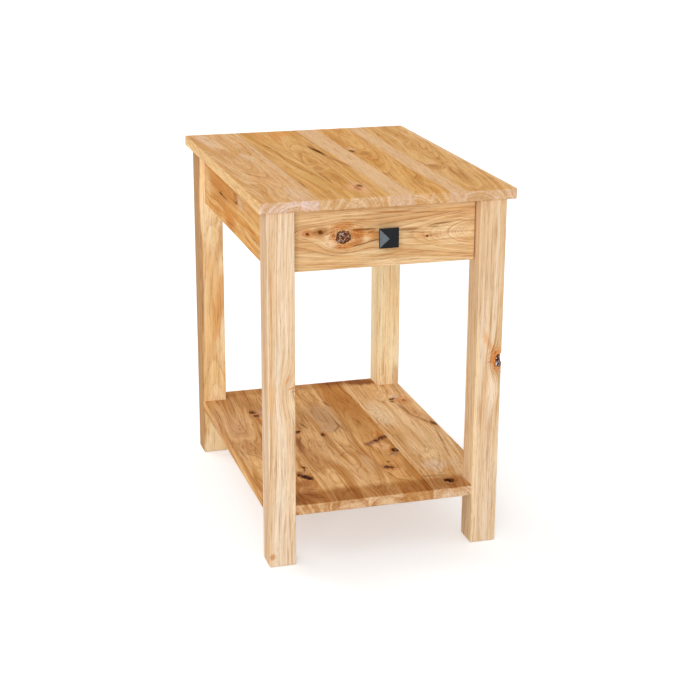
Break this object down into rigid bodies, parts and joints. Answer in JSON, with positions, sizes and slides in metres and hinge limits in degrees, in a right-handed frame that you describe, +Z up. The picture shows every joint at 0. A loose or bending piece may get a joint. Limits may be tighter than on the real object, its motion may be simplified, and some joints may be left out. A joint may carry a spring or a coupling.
{
  "type": "chairside table",
  "caption": "Small rustic wooden side table with a board top, square legs, an inset drawer on full-extension slides with a square knob, and a notched lower shelf.",
  "frame": {"origin": "on the floor, under the centre of the table top", "axes": "+Z up, the drawer opens along -Y, +X to the right of someone facing the drawer"},
  "size_m": [0.419, 0.5778, 0.6096],
  "materials": {
    "top_wood": "satin clear coat over hickory",
    "shelf_wood": "satin clear coat over knotty hickory",
    "leg_wood": "satin clear coat over pale hickory",
    "apron_wood": "satin clear coat over hickory",
    "drawer_front_wood": "satin clear coat over knotty hickory",
    "frame_wood": "planed, clear coat",
    "box_wood": "sanded maple, clear coat",
    "panel_wood": "birch plywood, clear coat",
    "dowel_wood": "plain birch",
    "slide_steel": "zinc plated",
    "cage_steel": "zinc plated",
    "ball_steel": "polished",
    "screw_steel": "zinc plated",
    "knob_black": "satin black"
  },
  "bodies": {
    "table": {"top_board_1": "top_wood", "shelf_board_1": "shelf_wood", "top_board_2": "top_wood", "shelf_board_2": "shelf_wood", "top_board_3": "top_wood", "shelf_board_3": "shelf_wood", "top_board_4": "top_wood", "shelf_board_4": "shelf_wood", "top_board_5": "top_wood", "shelf_board_5": "shelf_wood", "leg_front_left": "leg_wood", "leg_front_right": "leg_wood", "leg_rear_left": "leg_wood", "leg_rear_right": "leg_wood", "apron_left": "apron_wood", "apron_right": "apron_wood", "apron_back": "apron_wood", "rail_front_upper": "frame_wood", "rail_front_lower": "frame_wood", "slide_cleat_left": "frame_wood", "slide_cabinet_member_left": "slide_steel", "slide_cleat_right": "frame_wood", "slide_cabinet_member_right": "slide_steel", "top_fasteners": "screw_steel", "fastener_apron_screws": "screw_steel", "fastener_top_screws": "screw_steel", "rail_top_screws": "screw_steel", "rail_pocket_screws": "screw_steel", "cleat_screws": "screw_steel", "cabinet_slide_screws": "screw_steel", "shelf_dowels": "dowel_wood"},
    "drawer": {"drawer_front": "drawer_front_wood", "drawer_box_front": "box_wood", "drawer_box_back": "box_wood", "drawer_side_left": "box_wood", "drawer_side_right": "box_wood", "drawer_bottom": "panel_wood", "slide_drawer_member_left": "slide_steel", "slide_drawer_member_right": "slide_steel", "drawer_slide_screws": "screw_steel", "drawer_front_screws": "screw_steel", "knob": "knob_black", "knob_screw": "screw_steel"},
    "slide_middle_left": {"slide_middle_member_left": "slide_steel"},
    "outer_cage_left": {"outer_ball_cage_left": "cage_steel", "outer_balls_left": "ball_steel"},
    "inner_cage_left": {"inner_ball_cage_left": "cage_steel", "inner_balls_left": "ball_steel"},
    "slide_middle_right": {"slide_middle_member_right": "slide_steel"},
    "outer_cage_right": {"outer_ball_cage_right": "cage_steel", "outer_balls_right": "ball_steel"},
    "inner_cage_right": {"inner_ball_cage_right": "cage_steel", "inner_balls_right": "ball_steel"}
  },
  "joints": [
    {"name": "drawer_slide", "type": "slide", "parent": "table", "child": "drawer", "axis": [0, -1, 0], "range_m": [0, 0.432]},
    {"name": "slide_middle_left_slide", "type": "slide", "parent": "table", "child": "slide_middle_left", "axis": [0, -1, 0], "range_m": [0, 0.216]},
    {"name": "outer_cage_left_slide", "type": "slide", "parent": "table", "child": "outer_cage_left", "axis": [0, -1, 0], "range_m": [0, 0.108]},
    {"name": "inner_cage_left_slide", "type": "slide", "parent": "table", "child": "inner_cage_left", "axis": [0, -1, 0], "range_m": [0, 0.324]},
    {"name": "slide_middle_right_slide", "type": "slide", "parent": "table", "child": "slide_middle_right", "axis": [0, -1, 0], "range_m": [0, 0.216]},
    {"name": "outer_cage_right_slide", "type": "slide", "parent": "table", "child": "outer_cage_right", "axis": [0, -1, 0], "range_m": [0, 0.108]},
    {"name": "inner_cage_right_slide", "type": "slide", "parent": "table", "child": "inner_cage_right", "axis": [0, -1, 0], "range_m": [0, 0.324]}
  ],
  "couplings": [
    {"joint": "slide_middle_left_slide", "follows": "drawer_slide", "ratio": 0.5},
    {"joint": "outer_cage_left_slide", "follows": "drawer_slide", "ratio": 0.25},
    {"joint": "inner_cage_left_slide", "follows": "drawer_slide", "ratio": 0.75},
    {"joint": "slide_middle_right_slide", "follows": "drawer_slide", "ratio": 0.5},
    {"joint": "outer_cage_right_slide", "follows": "drawer_slide", "ratio": 0.25},
    {"joint": "inner_cage_right_slide", "follows": "drawer_slide", "ratio": 0.75}
  ]
}
